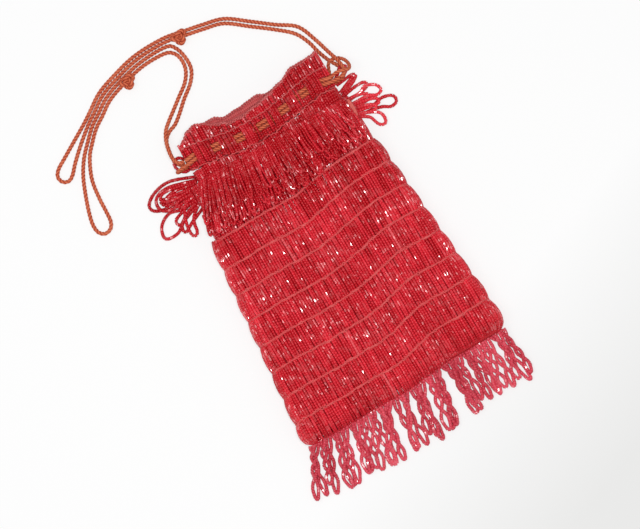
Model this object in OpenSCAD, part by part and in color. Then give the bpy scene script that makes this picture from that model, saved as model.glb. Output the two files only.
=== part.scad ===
// A beaded drawstring coin purse, lying on its back with its mouth towards +Y.
// A knitted pouch carries rings of glass bead bars. Two corded drawstrings run
// through bead loops at the neck, and bead fringes hang from the neck and the bottom.
// Lengths are in millimetres.

/* [Beaded body] */
// Length of one bead row along the purse
row_pitch = 11.2; // [9:0.1:13]
// Width over the lowest bead row
bottom_w = 95; // [85:0.5:105]
// Width over the highest bead row
top_w = 76.5; // [74:0.5:82]
// Thickness of a bead row over the knit at its fullest
row_t = 2.55; // [2.4:0.05:3]
// Height of the hollow between the two walls
hollow_t = 4.6; // [4.2:0.1:5]
// Thickness of the knitted wall
wall = 1.1; // [0.9:0.05:1.3]
// How far a bead row swells above its thread lines
row_puff = 1.3; // [0.6:0.1:1.6]
// Distance between the grooves that part a row into bead bars
bar_pitch = 2; // [1.6:0.1:3]
// Width of a groove between bead bars
bar_gap = 0.5; // [0.3:0.05:0.7]
// Depth of a groove between bead bars at the fullest part of a row
bar_h = 0.9; // [0.6:0.05:1.1]
// Depth of the flat worn into the top of each swelling
row_flat = 0.3; // [0.2:0.05:0.4]
// Diameter of the thread line between two bead rows
ridge_d = 0.8; // [0.5:0.05:0.9]

/* [Neck and mouth] */
// Width of the neck over its fringe
neck_w = 70; // [66:0.5:72]
// Sideways lean of the neck
neck_lean = 2.2; // [0:0.1:4]
// Length of the short bead row at the neck
neck_row_l = 3.2; // [2.6:0.1:4]
// Length of a lip from its thread line to its top
lip_l = 16.4; // [15:0.1:18]
// Width of a lip
lip_w = 67; // [62:0.5:68]
// Diameter of the thread that a lip turns on
neck_thread_d = 1.2; // [0.8:0.1:1.4]
// Number of bead posts over the drawstrings on each lip
posts = 6; // [5:1:6]
// Width of one bead post
post_w = 5.4; // [4:0.1:6]
// Distance from one bead post to the next
post_pitch = 10.4; // [9:0.1:11]
// Length of a bead post along the purse
post_l = 8.4; // [8:0.1:9]
// Thickness of the beads in a post
post_t = 0.85; // [0.7:0.05:0.9]
// Thickness of the heading beads
heading_t = 2; // [1.2:0.1:2.3]
// Number of thread scallops along a lip
scallops = 14; // [8:1:16]
// Diameter of a thread scallop
scallop_d = 4.2; // [3:0.1:4.2]

/* [Drawstrings] */
// Diameter of a drawstring
cord_d = 1.6; // [1.2:0.05:1.6]
// Distance between the two drawstrings in the channel
cord_pitch = 1.8; // [1.7:0.05:2]
// Diameter of a drawstring's knot
knot_d = 5.4; // [4.4:0.1:6]

/* [Fringes] */
// Diameter of a string of beads
bead_d = 1; // [0.8:0.05:1.1]
// Length of the neck fringe on the front
skirt_l = 24; // [16:0.5:26]
// Length of the neck fringe on the back
back_skirt_l = 20.5; // [14:0.5:21]
// Distance between loops of the neck fringe
skirt_pitch = 2.6; // [2.4:0.05:3.2]
// Diameter of the thread that carries the neck fringe
skirt_thread_d = 0.8; // [0.6:0.05:0.9]
// Half of the span over the loops that stick out at the sides
side_reach = 54.8; // [50:0.2:58]
// Spacing of the loops at each side along their thread
side_pitch = 4.6; // [3.6:0.1:4.8]
// Length of the bottom fringe
fringe_l = 24; // [18:0.5:30]
// Diameter of the thread that carries the bottom fringe
fringe_thread_d = 1.6; // [1:0.1:1.7]
// Diameter of a twisted bottom strand
twist_d = 1.9; // [1.8:0.05:2]
// Share of a bottom strand that is twisted
twist_share = 0.55; // [0.4:0.05:0.7]
// Width of the open loop at a strand's end
eye_w = 2.4; // [2.1:0.1:2.4]
// Distance between bottom strands
strand_pitch = 2.5; // [2.45:0.05:2.7]
// Diameter of the thread along the bottom edge
seam_d = 1.8; // [1.2:0.1:2]
// Height of the bottom edge thread above the table
seam_z = 3.8; // [3.6:0.1:6]

/* [Clearances] */
// Gap between pieces that move past each other
clearance = 0.3; // [0.2:0.05:0.4]
// Gap between pieces that lie against each other
seat_gap = 0.05; // [0.03:0.01:0.08]

/* [Hidden] */
$fn = 48;
swell_fn = 96;
rows = 10;
covered_rows = 2;
fringe_groups = 6;
strands_per_group = 6;
cord_sides = 8;
// Neighbouring fringe loops differ in length by whole millimetres, in turns of this many
stagger = 3;

// Layers, counted outwards from the middle plane of the purse
hollow_r = hollow_t / 2;
knit_r = hollow_r + wall;
row_r = knit_r + seat_gap + row_t;
skirt_t = bead_d + 2 * seat_gap;
covered_r = row_r - skirt_t - clearance;
covered_puff = row_puff / 3;
cord_r = knit_r + seat_gap + cord_d / 2;
post_r = cord_r + cord_d / 2 + seat_gap;
// The purse lies on whichever layer stands out furthest
mid_z = max(row_r, post_r + post_t);

// Places along the purse, with its whole length centred on the origin
// Places are in whole hundredths, so that neighbouring faces meet exactly
function hundredths(v) = round(v * 100) / 100;
fringe_droop = asin((seam_z - bead_d / 2) / fringe_l);
fringe_reach = hundredths(fringe_l * cos(fringe_droop));
fringe_room = twist_d / 2 + clearance;
total_l = fringe_reach + fringe_room + seam_d + rows * row_pitch + neck_row_l
    + neck_thread_d / 2 + lip_l + scallop_d / 2 + 3 * seat_gap;
fringe_y = hundredths(-total_l / 2) + fringe_reach;
seam_y = fringe_y + fringe_room + seam_d / 2;
bottom_y = seam_y + seam_d / 2 + seat_gap;
neck_y = bottom_y + rows * row_pitch;
thread_y = neck_y + neck_row_l + neck_thread_d / 2 + seat_gap;
lip_y = thread_y + neck_thread_d / 2;
lip_top = thread_y + lip_l;
post_y = lip_y + clearance;
heading_y = post_y + post_l + seat_gap;
left_cord_y = post_y + post_l / 2 + cord_pitch / 2;
right_cord_y = post_y + post_l / 2 - cord_pitch / 2;
skirt_y = neck_y - skirt_thread_d / 2;
run_half = lip_w / 2 + clearance;
bight_r = 1.5;
// The right drawstring leaves the channel beyond the left one's bight
bight_reach = seat_gap + bight_r + cord_d / 2;
right_run_past = bight_reach + clearance;
skirt_count = floor((neck_w - 2 * bead_d) / skirt_pitch);
skirt_half = skirt_count * skirt_pitch / 2;
skirt_loop_w = skirt_pitch - seat_gap;
skirt_front_z = mid_z + covered_r + clearance + bead_d / 2;
skirt_back_z = mid_z - row_r + bead_d / 2;
skirt_tilt = atan((row_r - covered_r) / skirt_l);
side_root = skirt_half + skirt_thread_d / 2 + seat_gap;
group_w = strands_per_group * strand_pitch + clearance;

// Row number 1 is at the bottom
function covered(i) = i > rows - covered_rows;
function row_y(i) = bottom_y + (i - 1) * row_pitch;
function row_w(i) = bottom_w + (top_w - bottom_w) * (i - 1) / (rows - 1);
function row_flat_half(i) = hundredths(row_w(i) / 2 - row_r);
function row_lean(i) = hundredths(neck_lean * max(0, i - rows + covered_rows) / (covered_rows + 1));
// The neck is as wide as the lips that grow out of it
neck_flat_half = hundredths(lip_w / 2 - knit_r - seat_gap - bead_d);

// Hand-laid routes of the two free drawstrings, from the front exit to the back exit
left_route = [
    [-32, 68.1, 10.2], [-33.4, 68.4, 10], [-34.5, 70.8, 9], [-34.7, 74.6, 7], [-34, 79, 4.8],
    [-32.2, 83, 3], [-29.2, 86, 1.5], [-25.8, 88.7, 0.9], [-20.8, 92.6, 0.8], [-15.9, 96.4, 0.8],
    [-13, 100.6, 0.8], [-12.3, 105, 0.8], [-13.4, 109.4, 0.8], [-16.6, 111.1, 0.8],
    [-27.8, 110.6, 0.8], [-39.1, 107.7, 0.8], [-45.6, 105.2, 0.8], [-51.1, 101.4, 0.8],
    [-55.8, 98.2, 0.8], [-59.8, 94.2, 0.8], [-63.8, 89.4, 0.8], [-67.4, 81.4, 0.8],
    [-68.6, 73.6, 0.8], [-69.2, 66.6, 0.8], [-70.6, 61.2, 0.8], [-73.6, 59.6, 0.8],
    [-75.8, 63.6, 0.8], [-75, 69.6, 0.8], [-72.8, 77, 0.8], [-69.8, 84.2, 0.8], [-66, 90.2, 0.8],
    [-61.4, 95.2, 0.8], [-56.9, 99.6, 0.8], [-52.1, 102.9, 0.8], [-46.5, 106.7, 0.8],
    [-39.7, 109.4, 0.8], [-28, 112.4, 0.8], [-15.6, 112.9, 0.8], [-12, 110.4, 0.8],
    [-10.5, 105, 0.8], [-10.9, 99.8, 0.8], [-14, 95.2, 0.8], [-19.3, 90.9, 0.8], [-24, 86.6, 0.8],
    [-27.6, 83.8, 0.8], [-31, 82.4, 0.8], [-33.6, 79.8, 0.8], [-34.5, 75.4, 0.8],
    [-34.4, 71.4, 0.9], [-33.6, 68.3, 1.5], [-32, 68.1, 1.7]
];
right_route = [
    [38.75, 66.3, 10.25], [39.7, 66.3, 10.2], [41, 67, 9.6], [41.6, 69, 8.6], [41.3, 73, 6.6],
    [40, 78.4, 3.6], [38.3, 85.4, 0.8], [34.8, 93.4, 0.8], [27.5, 98.6, 0.8], [19.6, 104.6, 0.8],
    [10.8, 111, 0.8], [2, 113.3, 0.8], [-5.2, 114.7, 0.8], [-15, 116.4, 0.8], [-28.4, 115.9, 0.8],
    [-40.9, 112.6, 0.8], [-48.1, 109.8, 0.8], [-54.1, 105.7, 0.8], [-59, 102.4, 0.8],
    [-66, 98.2, 0.8], [-73.2, 93.4, 0.8], [-77.6, 90, 0.8], [-79, 87.4, 0.8], [-77.4, 85.4, 0.8],
    [-74.6, 86.4, 0.8], [-70.6, 90, 0.8], [-64.4, 95.6, 0.8], [-57.9, 101, 0.8],
    [-53.1, 104.3, 0.8], [-47.3, 108.3, 0.8], [-40.3, 111, 0.8], [-28.2, 114.2, 0.8],
    [-15, 114.7, 0.8], [-5.3, 112.9, 0.8], [1.8, 111.5, 0.8], [9.8, 109.4, 0.8], [18.4, 103, 0.8],
    [26.3, 97, 0.8], [32.4, 91.6, 0.8], [35.4, 86, 0.8], [36.8, 80.8, 0.8], [38.4, 76, 0.8],
    [40.6, 70.6, 0.9], [41.1, 67.9, 1.2], [40.4, 66.6, 1.6], [39.7, 66.3, 1.75],
    [38.75, 66.3, 1.75]
];
left_knot_at = [-35.6, 108.2, 2.2];
right_knot_at = [-8.7, 113.4, 2.2];

// A flat pouch section: straight front and back with half-round sides
module stadium(half_flat, r) {
    square([2 * half_flat, 2 * r], center = true);
    for (side = [-1, 1])
        translate([side * half_flat, 0])
            circle(r = r);
}

// Stretches a section drawn in X and Z along the purse
module along(y, length) {
    translate([0, y + length, mid_z])
        rotate([90, 0, 0])
            linear_extrude(length)
                children();
}

module tube(half_flat, outer_r, inner_r, y, length) {
    along(y, length)
        difference() {
            stadium(half_flat, outer_r);
            stadium(half_flat, inner_r);
        }
}

// Carries a profile, drawn as height above the middle plane against length, round the purse
module wrap(half_flat) {
    translate([half_flat, 0, 0])
        rotate([0, -90, 0])
            linear_extrude(2 * half_flat)
                children();
    translate([-half_flat, 0, 0])
        rotate([0, 90, 0])
            linear_extrude(2 * half_flat)
                children();
    for (side = [0, 1])
        mirror([side, 0, 0])
            translate([half_flat, 0, 0])
                rotate([-90, 0, 0])
                    rotate([0, 0, -90])
                        rotate_extrude(angle = 180)
                            children();
}

// Arc that gives a swelling its height over a row's length
function swell_r(length, rise) = (pow(length / 2, 2) + pow(rise, 2)) / (2 * rise);

// The swelling section of a bead row, lying on the knit
module row_profile(crest_r, puff, length) {
    arc_r = swell_r(length, puff + row_flat);
    base_r = knit_r + seat_gap;
    intersection() {
        translate([crest_r + row_flat - arc_r, length / 2])
            circle(r = arc_r, $fn = swell_fn);
        translate([base_r, 0])
            square([crest_r - base_r, length]);
    }
}

// Grooves that part the front and back of a row into bead bars
module bar_grooves(half_flat, crest_r, depth) {
    count = floor(2 * half_flat / bar_pitch);
    for (k = [1:count - 1], face = [0, 1])
        mirror([0, 0, face])
            translate([hundredths((k - count / 2) * bar_pitch - bar_gap / 2), -1, hundredths(crest_r - depth)])
                cube([bar_gap, row_pitch + 2, depth + 1]);
}

module bead_row(i) {
    crest = covered(i) ? covered_r : row_r;
    puff = covered(i) ? covered_puff : row_puff;
    depth = covered(i) ? bar_h * covered_puff / row_puff : bar_h;
    color("firebrick")
        translate([row_lean(i), row_y(i), mid_z])
            difference() {
                wrap(row_flat_half(i))
                    row_profile(crest, puff, row_pitch);
                bar_grooves(row_flat_half(i), crest, depth);
            }
}

// Knitted wall of one row with the shoulder that closes it to the next row
module knit_section(i) {
    narrower = i < rows ? row_flat_half(i + 1) : neck_flat_half;
    shift = (i < rows ? row_lean(i + 1) : neck_lean) - row_lean(i);
    translate([row_lean(i), 0, 0]) {
        tube(row_flat_half(i), knit_r, hollow_r, row_y(i), row_pitch);
        along(row_y(i) + row_pitch - wall, wall)
            difference() {
                stadium(row_flat_half(i), knit_r);
                translate([shift, 0])
                    stadium(narrower, hollow_r);
            }
    }
}

module knit_pouch() {
    color("indianred") {
        for (i = [1:rows])
            knit_section(i);
        along(bottom_y, wall)
            stadium(row_flat_half(1), knit_r);
        translate([neck_lean, 0, 0])
            tube(neck_flat_half, knit_r, hollow_r, neck_y, neck_row_l);
    }
}

// Thread lines in the grooves between the open bead rows
module ridge_threads() {
    slope = asin(row_pitch / 2 / swell_r(row_pitch, row_puff + row_flat));
    groove_r = row_r - row_puff + (ridge_d / 2 + seat_gap) / cos(slope);
    color("lightcoral")
        for (i = [1:rows - covered_rows])
            translate([row_lean(i), row_y(i + 1), mid_z])
                wrap(row_flat_half(i))
                    translate([groove_r, 0])
                        circle(d = ridge_d);
}

module neck_row() {
    color("firebrick")
        translate([neck_lean, neck_y, mid_z])
            wrap(neck_flat_half)
                translate([knit_r + seat_gap, seat_gap])
                    square([bead_d, neck_row_l - 2 * seat_gap]);
}

// A round thread or bead string laid across the purse
module cross_thread(d, half_l, y, z) {
    translate([-half_l, y, z])
        rotate([0, 90, 0])
            cylinder(d = d, h = 2 * half_l);
}

module neck_thread() {
    color("indianred")
        translate([neck_lean, 0, 0])
            cross_thread(neck_thread_d, lip_w / 2, thread_y, mid_z + knit_r + neck_thread_d / 2);
}

module bottom_seam() {
    color("indianred")
        cross_thread(seam_d, row_flat_half(1) + knit_r, seam_y, seam_z);
}

// Puts a lip piece on the front, or turns it over onto the back
module lip_side(front) {
    translate([neck_lean, 0, mid_z])
        mirror([0, 0, front ? 0 : 1])
            children();
}

module lip_knit(front) {
    color("indianred")
        lip_side(front)
            translate([-lip_w / 2, lip_y, hollow_r])
                cube([lip_w, lip_top - lip_y, wall]);
}

// Side view of a bead post that steps over the two drawstrings
module post_profile() {
    foot = 1.2;
    base = knit_r + seat_gap;
    top = post_r + post_t;
    polygon([
        [base, 0],
        [base, foot],
        [post_r, foot + post_t / 2],
        [post_r, post_l - foot - post_t / 2],
        [base, post_l - foot],
        [base, post_l],
        [base + post_t, post_l],
        [top, post_l - foot],
        [top, foot],
        [base + post_t, 0]
    ]);
}

module post_row(front) {
    first = -(posts - 1) / 2 * post_pitch;
    color("firebrick")
        lip_side(front)
            for (k = [0:posts - 1])
                translate([first + k * post_pitch + post_w / 2, post_y, 0])
                    rotate([0, -90, 0])
                        linear_extrude(post_w)
                            post_profile();
}

module heading(front) {
    length = lip_top - heading_y;
    arc_r = swell_r(length, heading_t / 2);
    base = knit_r + seat_gap;
    color("firebrick")
        lip_side(front)
            translate([lip_w / 2, heading_y, 0])
                rotate([0, -90, 0])
                    linear_extrude(lip_w)
                        intersection() {
                            translate([base + heading_t - arc_r, length / 2])
                                circle(r = arc_r, $fn = swell_fn);
                            translate([base, 0])
                                square([heading_t, length]);
                        }
}

module edging(front) {
    pitch = (lip_w - scallop_d) / (scallops - 1);
    color("indianred")
        lip_side(front)
            for (k = [0:scallops - 1])
                translate([-(lip_w - scallop_d) / 2 + k * pitch, lip_top + seat_gap, hollow_r])
                    intersection() {
                        cylinder(d = scallop_d, h = wall);
                        translate([-scallop_d / 2, 0, 0])
                            cube([scallop_d, scallop_d / 2, wall]);
                    }
}

// Drawstrings inside the channel, which may reach past it on the right
module cord_run(y, front, past = 0) {
    color("chocolate")
        lip_side(front)
            translate([past / 2, 0, 0])
                cross_thread(cord_d, run_half + past / 2, y, cord_r);
}

// A drawstring turning from the front channel into the back one
module cord_bight(y, side) {
    straight = cord_r - bight_r;
    color("chocolate")
        translate([neck_lean + side * (run_half + seat_gap), y, mid_z])
            mirror([side < 0 ? 1 : 0, 0, 0]) {
                translate([bight_r, 0, -straight])
                    cylinder(d = cord_d, h = 2 * straight);
                for (level = [0, 1])
                    mirror([0, 0, level])
                        translate([0, 0, straight])
                            rotate([90, 0, 0])
                                rotate_extrude(angle = 90)
                                    translate([bight_r, 0])
                                        circle(d = cord_d);
            }
}

// A round cord along a route, as one closed tube
function unit(v) = v / norm(v);
function ahead_at(route, k) =
    unit(route[min(k + 1, len(route) - 1)] - route[max(k - 1, 0)]);
function ring_at(route, k) =
    let (
        ahead = ahead_at(route, k),
        side = unit(cross([0, 0, 1], ahead)),
        up = cross(ahead, side)
    )
    [for (j = [0:cord_sides - 1])
        let (turn = 360 * (j + 0.5) / cord_sides)
        route[k] + cord_d / 2 * (cos(turn) * side + sin(turn) * up)];

module cord_tube(route) {
    n = cord_sides;
    last = len(route) - 1;
    points = [for (k = [0:last]) each ring_at(route, k)];
    walls = [
        for (k = [0:last - 1], j = [0:n - 1], half = [0, 1])
            let (a = k * n + j, b = k * n + (j + 1) % n)
            half == 0 ? [a, a + n, b] : [b, a + n, b + n]
    ];
    start = [for (j = [1:n - 2]) [0, j, j + 1]];
    end = [for (j = [1:n - 2]) [last * n, last * n + j + 1, last * n + j]];
    color("chocolate")
        polyhedron(points, concat(walls, start, end));
}

// A knot of cord, flattened where it lies on the table
module cord_knot(at) {
    color("chocolate")
        translate(at)
            intersection() {
                sphere(d = knot_d);
                translate([0, 0, knot_d / 2 - at[2]])
                    cube(knot_d, center = true);
            }
}

// The round end of a loop of one bead string
module loop_end(r) {
    rotate([0, 0, 180])
        rotate_extrude(angle = 180)
            translate([r, 0])
                circle(d = bead_d);
}

// A narrow loop of one bead string, hanging from the origin towards -Y
module hairpin(length, width) {
    r = (width - bead_d) / 2;
    leg = length - width / 2;
    for (side = [-1, 1])
        translate([side * r, 0, 0])
            rotate([90, 0, 0])
                cylinder(d = bead_d, h = leg);
    translate([0, -leg, 0])
        loop_end(r);
}

// Neck fringe loops on their carrying thread, with their ends raised by a tilt
module skirt(z, length, tilt) {
    color("crimson")
        translate([neck_lean, skirt_y, z])
            rotate([-tilt, 0, 0]) {
                cross_thread(skirt_thread_d, skirt_half, 0, 0);
                for (k = [0:skirt_count - 1])
                    translate([-skirt_half + (k + 0.5) * skirt_pitch, 0, 0])
                        hairpin(length - k % stagger, skirt_loop_w);
            }
}

// Loops of the neck fringe that stick out at each side, as shares of the longest
side_shares = [0.62, 1, 0.92, 0.8];

module side_loops(side) {
    longest = side_reach - side_root - side * neck_lean;
    half = len(side_shares) * side_pitch / 2;
    color("crimson")
        translate([neck_lean + side * side_root, skirt_y + side_pitch / 2 - half, skirt_back_z])
            rotate([0, 0, side * 90]) {
                cross_thread(skirt_thread_d, half, 0, 0);
                for (k = [0:len(side_shares) - 1])
                    translate([side * (half - (k + 0.5) * side_pitch), 0, 0])
                        hairpin(longest * side_shares[k], side_pitch - bead_d / 2);
            }
}

// A bottom strand: a twisted stem and the open loop at its end
module strand(length) {
    stem = length * twist_share;
    rotate([90, 0, 0])
        cylinder(d = twist_d, h = stem);
    translate([0, -stem + bead_d / 2, 0])
        hairpin(length - stem + bead_d / 2, eye_w);
}

module fringe(group) {
    centre = (group - (fringe_groups + 1) / 2) * group_w;
    half = strands_per_group * strand_pitch / 2;
    color("crimson")
        translate([centre, fringe_y, seam_z])
            rotate([fringe_droop, 0, 0]) {
                cross_thread(fringe_thread_d, half, 0, 0);
                for (k = [0:strands_per_group - 1])
                    translate([-half + (k + 0.5) * strand_pitch, 0, 0])
                        strand(fringe_l - (k + group) % stagger);
            }
}

knit_pouch();
for (i = [1:rows])
    bead_row(i);
ridge_threads();
neck_row();
neck_thread();
bottom_seam();
lip_knit(false);  // back_lip_knit
post_row(false);  // back_posts
heading(false);  // back_heading
edging(false);  // back_edging
lip_knit(true);  // front_lip_knit
post_row(true);  // front_posts
heading(true);  // front_heading
edging(true);  // front_edging
cord_run(left_cord_y, true);  // left_cord_front_run
cord_run(right_cord_y, true, right_run_past);  // right_cord_front_run
cord_run(left_cord_y, false);  // left_cord_back_run
cord_run(right_cord_y, false, right_run_past);  // right_cord_back_run
cord_bight(left_cord_y, 1);  // left_cord_bight
cord_bight(right_cord_y, -1);  // right_cord_bight
cord_tube(left_route);  // left_cord_loop
cord_tube(right_route);  // right_cord_loop
cord_knot(left_knot_at);  // left_cord_knot
cord_knot(right_knot_at);  // right_cord_knot
skirt(skirt_front_z, skirt_l, skirt_tilt);  // skirt_front
skirt(skirt_back_z, back_skirt_l, 0);  // skirt_back
side_loops(-1);  // side_loops_left
side_loops(1);  // side_loops_right
for (g = [1:fringe_groups])
    fringe(g);
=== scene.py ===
"""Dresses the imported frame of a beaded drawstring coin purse.

The builders work in millimetres in the frame's axes, and publish() turns a finished mesh
into metres. Every bead is a barrel of its own, threaded on bars, loops and strands.
"""

import functools
import logging
import math
import random
from collections.abc import Iterable, Sequence
from dataclasses import dataclass, field
from enum import Enum

import bmesh
import bpy
from mathutils import Matrix, Vector
from mathutils.geometry import interpolate_bezier


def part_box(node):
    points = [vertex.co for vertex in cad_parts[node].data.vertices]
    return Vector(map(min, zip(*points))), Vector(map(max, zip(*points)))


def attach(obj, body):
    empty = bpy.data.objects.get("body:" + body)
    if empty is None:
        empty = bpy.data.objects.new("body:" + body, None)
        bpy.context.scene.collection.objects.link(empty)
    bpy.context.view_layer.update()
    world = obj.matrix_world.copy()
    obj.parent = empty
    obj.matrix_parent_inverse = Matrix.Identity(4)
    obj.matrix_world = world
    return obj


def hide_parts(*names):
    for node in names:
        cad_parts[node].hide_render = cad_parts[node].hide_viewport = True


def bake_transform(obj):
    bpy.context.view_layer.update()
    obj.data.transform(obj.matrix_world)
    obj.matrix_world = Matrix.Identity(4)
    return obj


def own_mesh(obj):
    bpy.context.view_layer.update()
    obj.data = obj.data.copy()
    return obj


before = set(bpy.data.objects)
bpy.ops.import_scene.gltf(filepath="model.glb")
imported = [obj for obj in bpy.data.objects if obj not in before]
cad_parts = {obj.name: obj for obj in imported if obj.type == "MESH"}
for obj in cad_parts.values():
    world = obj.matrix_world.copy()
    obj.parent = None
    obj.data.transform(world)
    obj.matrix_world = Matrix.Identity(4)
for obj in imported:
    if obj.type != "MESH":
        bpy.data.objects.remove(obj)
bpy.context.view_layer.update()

Colour = tuple[float, float, float, float]
Point = tuple[float, float, float]
Marks = tuple[tuple[float, float], ...]

LOG = logging.getLogger("coin_purse")
MM = 0.001
UP = Vector((0.0, 0.0, 1.0))
ROWS = 10
OPEN_ROWS = 8
# Height of a drawstring's middle line where it lies on the table.
TABLE_LEVEL = 0.8
# Shares of the width meant to be left when the drawstrings are pulled all the way; they are passed on, but
# nothing here draws the pieces together.
NECK_KEEP = 0.84
FOLD_KEEP = 0.8
LIP_KEEP = 0.72

# How much of the skew each place along the purse has, and how far the mouth and the
# drawstrings' channel sag at each place across it.
ROW_SKEW: Marks = ((-54.0, 0.45), (-40.0, 1.0), (26.0, 1.0), (47.0, 0.45), (60.0, 0.15))
MOUTH_SAG: Marks = (
    (-34.0, 1.7), (-26.0, 1.0), (-18.0, -0.4), (-10.0, -1.8), (-2.0, -2.2), (5.0, -1.9), (13.4, -0.7),
    (22.0, 0.9), (29.0, 2.0), (38.0, 1.4),
)
CHANNEL_SAG: Marks = (
    (-31.6, 0.0), (-26.0, 0.6), (-18.0, -0.4), (-10.0, -1.8), (-2.0, -2.2), (5.0, -1.9), (13.4, -0.7),
    (22.0, 0.9), (28.0, 1.3), (36.0, 0.0),
)


class Face(Enum):
    """The two faces of the flat purse, with their direction along Z."""

    FRONT = 1
    BACK = -1


class Side(Enum):
    """The two sides of the purse, with their direction along X."""

    LEFT = -1
    RIGHT = 1


def ease(low: float, high: float, value: float) -> float:
    """Rise smoothly from 0 at low to 1 at high.

    Args:
        low: Value where the rise starts.
        high: Value where it ends.
        value: Where to read it.

    Returns:
        A share from 0 to 1.
    """
    share = min(1.0, max(0.0, (value - low) / (high - low)))
    return share * share * (3 - 2 * share)


def follow(marks: Marks, at: float) -> float:
    """Read a line drawn through marks, easing from each to the next.

    Args:
        marks: Places and levels, in rising order of place.
        at: The place to read.

    Returns:
        The level there.
    """
    if at <= marks[0][0]:
        return marks[0][1]
    for (x0, y0), (x1, y1) in zip(marks, marks[1:]):
        if at <= x1:
            return y0 + (y1 - y0) * ease(x0, x1, at)
    return marks[-1][1]


def shares(count: int) -> list[float]:
    """Give so many evenly spaced shares, from 0 to 1."""
    return [k / (count - 1) for k in range(count)]


def even_steps(path: Sequence[Vector], step: float) -> list[Vector]:
    """Space points evenly along a path.

    Args:
        path: Corner points of the path.
        step: Wanted spacing in millimetres.

    Returns:
        Points from the first corner to the last.
    """
    spans = [(b - a).length for a, b in zip(path, path[1:])]
    total = sum(spans)
    count = max(1, round(total / step))
    points = [path[0].copy()]
    k = 0
    passed = 0.0
    for n in range(1, count):
        wanted = total * n / count
        while passed + spans[k] < wanted:
            passed += spans[k]
            k += 1
        points.append(path[k].lerp(path[k + 1], (wanted - passed) / spans[k]))
    points.append(path[-1].copy())
    return points


def curve_through(points: Sequence[Vector | Point], step: float, closed: bool = False) -> list[Vector]:
    """Draw a smooth curve through points.

    Args:
        points: The places it passes, in millimetres.
        step: Spacing of the curve's own points.
        closed: Whether the last point leads back to the first.

    Returns:
        Evenly spaced points of the curve.
    """
    marks = [Vector(p) for p in points]
    if closed:
        marks = [marks[-1], *marks, marks[0], marks[1]]
    else:
        marks = [2 * marks[0] - marks[1], *marks, 2 * marks[-1] - marks[-2]]
    dense = [marks[1]]
    for a, b, c, d in zip(marks, marks[1:], marks[2:], marks[3:]):
        dense += interpolate_bezier(b, b + (c - a) / 6, c - (d - b) / 6, c, 9)[1:]
    return even_steps(dense, step)


class Shade:
    """One socket of a material's nodes, with arithmetic on values."""

    def __init__(self, desk: "Desk", socket: bpy.types.NodeSocket) -> None:
        """Keep the socket and the desk that its node stands on."""
        self.desk = desk
        self.socket = socket

    def reckon(self, operation: str, *others: "Shade | float") -> "Shade":
        """Add one Math node on this value and perhaps another."""
        return self.desk.add("ShaderNodeMath", {"operation": operation}, dict(enumerate((self, *others))))

    def __add__(self, other: "Shade | float") -> "Shade":
        """Add a value."""
        return self.reckon("ADD", other)

    __radd__ = __add__

    def __mul__(self, other: "Shade | float") -> "Shade":
        """Multiply by a value."""
        return self.reckon("MULTIPLY", other)

    __rmul__ = __mul__

    def __sub__(self, other: "Shade | float") -> "Shade":
        """Take a value away."""
        return self.reckon("SUBTRACT", other)

    def __rsub__(self, other: float) -> "Shade":
        """Take this away from a number."""
        return self * -1.0 + other

    def above(self, level: float) -> "Shade":
        """Keep what exceeds a level, and nothing below it."""
        return (self - level).reckon("MAXIMUM", 0.0)

    def held(self) -> "Shade":
        """Hold the value between 0 and 1."""
        return self.desk.add("ShaderNodeClamp", {}, {0: self})

    def beside(self, output: str) -> "Shade":
        """Give another output of the same node."""
        return Shade(self.desk, self.socket.node.outputs[output])


class Desk:
    """A material and the nodes that it is made of."""

    def __init__(self, name: str) -> None:
        """Start an empty material.

        Args:
            name: Its name.
        """
        self.material = bpy.data.materials.new(name)
        self.material.use_nodes = True
        self.tree = self.material.node_tree
        self.tree.nodes.clear()

    def add(
        self,
        kind: str,
        settings: dict[str, object],
        sockets: dict[int | str, object],
        output: int | str = 0,
    ) -> Shade:
        """Add one node.

        Args:
            kind: The node's type.
            settings: Its own settings, set before its sockets.
            sockets: Values or links of its sockets, by name or number.
            output: The socket that is wanted back.

        Returns:
            That output socket.
        """
        node = self.tree.nodes.new(kind)
        for key, value in settings.items():
            setattr(node, key, value)
        for key, value in sockets.items():
            if isinstance(value, Shade):
                self.tree.links.new(value.socket, node.inputs[key])
            else:
                node.inputs[key].default_value = value
        return Shade(self, node.outputs[output])

    def mix(self, share: Shade | float, a: Shade | Colour, b: Shade | Colour) -> Shade:
        """Mix two colours by a share."""
        settings = {"data_type": "RGBA", "clamp_factor": True}
        return self.add("ShaderNodeMix", settings, {0: share, 6: a, 7: b}, 2)

    def place(self) -> Shade:
        """Give the surface's own Object coordinates."""
        return self.add("ShaderNodeTexCoord", {}, {}, "Object")

    def axes(self) -> tuple[Shade, Shade]:
        """Give the X and Y of the surface's own Object coordinates."""
        across = self.add("ShaderNodeSeparateXYZ", {}, {0: self.place()}, "X")
        return across, across.beside("Y")

    def carried(self, name: str) -> Shade:
        """Give a number that the mesh carries at its vertices."""
        return self.add("ShaderNodeAttribute", {"attribute_name": name}, {}, "Fac")

    def noise(self, scale: float, detail: float = 2.0) -> Shade:
        """Give soft noise at a scale in lumps to the metre."""
        sockets = {"Vector": self.place(), "Scale": scale, "Detail": detail}
        return self.add("ShaderNodeTexNoise", {}, sockets, "Fac")

    def finish(self, sockets: dict[int | str, object], rise: Shade, depth: float, strength: float) -> None:
        """Close the material with its shader and its bump.

        Args:
            sockets: Values and links of the shader.
            rise: Height of the surface from 0 to 1.
            depth: That height in metres.
            strength: How much of it shows.
        """
        normal = self.add("ShaderNodeBump", {}, {"Height": rise, "Distance": depth, "Strength": strength})
        self.surface(self.add("ShaderNodeBsdfPrincipled", {}, {**sockets, "Normal": normal}))

    def surface(self, shader: Shade) -> None:
        """Lead a shader to the material's surface."""
        node = self.tree.nodes.new("ShaderNodeOutputMaterial")
        self.tree.links.new(shader.socket, node.inputs["Surface"])


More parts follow.
